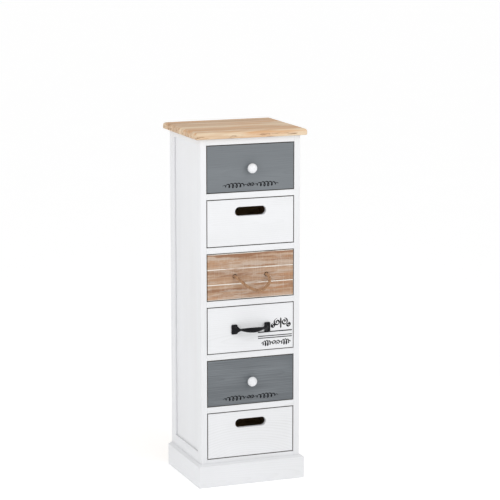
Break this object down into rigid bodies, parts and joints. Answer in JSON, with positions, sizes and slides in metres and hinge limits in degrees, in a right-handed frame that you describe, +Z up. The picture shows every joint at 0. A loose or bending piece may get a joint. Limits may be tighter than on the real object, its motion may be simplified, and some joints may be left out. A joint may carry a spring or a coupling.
{
  "type": "tall chest of drawers",
  "caption": "Tall narrow chest of stacked flush drawers in a painted frame-and-panel carcass with a natural wood top, on a plinth.",
  "frame": {"origin": "middle of the base of the bounding box, on the floor", "axes": "+Z up; -Y is the side the drawers pull out of; +X is on the right of someone facing the drawers"},
  "size_m": [0.32, 0.295, 0.98],
  "materials": {
    "white_paint": "white paint over pale wood, satin, faint grain",
    "grey_paint": "blue-grey paint over pale wood, matt, faint grain",
    "top_wood": "natural pale wood, clear satin lacquer",
    "plank_wood": "natural pale wood with a light whitewash, three planks",
    "drawer_wood": "bare pale wood, sanded",
    "plywood": "thin plywood, sanded",
    "knob_paint": "white painted turned wood",
    "jute_rope": "three-strand twisted jute",
    "black_iron": "black painted cast iron, satin",
    "screw_steel": "zinc plated"
  },
  "bodies": {
    "carcass": {"top_panel": "top_wood", "front_left_post": "white_paint", "rear_left_post": "white_paint", "left_top_rail": "white_paint", "left_bottom_rail": "white_paint", "left_side_panel": "white_paint", "front_right_post": "white_paint", "rear_right_post": "white_paint", "right_top_rail": "white_paint", "right_bottom_rail": "white_paint", "right_side_panel": "white_paint", "front_top_rail": "white_paint", "runner_frame_1": "white_paint", "runner_frame_2": "white_paint", "runner_frame_3": "white_paint", "runner_frame_4": "white_paint", "runner_frame_5": "white_paint", "runner_frame_6": "white_paint", "back_panel": "plywood", "plinth_front": "white_paint", "plinth_left": "white_paint", "plinth_right": "white_paint"},
    "drawer_1": {"drawer_1_front": "grey_paint", "drawer_1_left_side": "drawer_wood", "drawer_1_right_side": "drawer_wood", "drawer_1_back": "drawer_wood", "drawer_1_bottom": "plywood", "drawer_1_knob": "knob_paint", "drawer_1_knob_screw": "screw_steel"},
    "drawer_2": {"drawer_2_front": "white_paint", "drawer_2_left_side": "drawer_wood", "drawer_2_right_side": "drawer_wood", "drawer_2_back": "drawer_wood", "drawer_2_bottom": "plywood"},
    "drawer_3": {"drawer_3_front": "plank_wood", "drawer_3_left_side": "drawer_wood", "drawer_3_right_side": "drawer_wood", "drawer_3_back": "drawer_wood", "drawer_3_bottom": "plywood", "drawer_3_rope_pull": "jute_rope"},
    "drawer_4": {"drawer_4_front": "white_paint", "drawer_4_left_side": "drawer_wood", "drawer_4_right_side": "drawer_wood", "drawer_4_back": "drawer_wood", "drawer_4_bottom": "plywood", "drawer_4_bar_handle": "black_iron", "drawer_4_handle_screw_left": "screw_steel", "drawer_4_handle_screw_right": "screw_steel"},
    "drawer_5": {"drawer_5_front": "grey_paint", "drawer_5_left_side": "drawer_wood", "drawer_5_right_side": "drawer_wood", "drawer_5_back": "drawer_wood", "drawer_5_bottom": "plywood", "drawer_5_knob": "knob_paint", "drawer_5_knob_screw": "screw_steel"},
    "drawer_6": {"drawer_6_front": "white_paint", "drawer_6_left_side": "drawer_wood", "drawer_6_right_side": "drawer_wood", "drawer_6_back": "drawer_wood", "drawer_6_bottom": "plywood"}
  },
  "joints": [
    {"name": "drawer_1_slide", "type": "slide", "parent": "carcass", "child": "drawer_1", "axis": [0, -1, 0], "range_m": [0, 0.19]},
    {"name": "drawer_2_slide", "type": "slide", "parent": "carcass", "child": "drawer_2", "axis": [0, -1, 0], "range_m": [0, 0.19]},
    {"name": "drawer_3_slide", "type": "slide", "parent": "carcass", "child": "drawer_3", "axis": [0, -1, 0], "range_m": [0, 0.19]},
    {"name": "drawer_4_slide", "type": "slide", "parent": "carcass", "child": "drawer_4", "axis": [0, -1, 0], "range_m": [0, 0.19]},
    {"name": "drawer_5_slide", "type": "slide", "parent": "carcass", "child": "drawer_5", "axis": [0, -1, 0], "range_m": [0, 0.19]},
    {"name": "drawer_6_slide", "type": "slide", "parent": "carcass", "child": "drawer_6", "axis": [0, -1, 0], "range_m": [0, 0.19]}
  ]
}
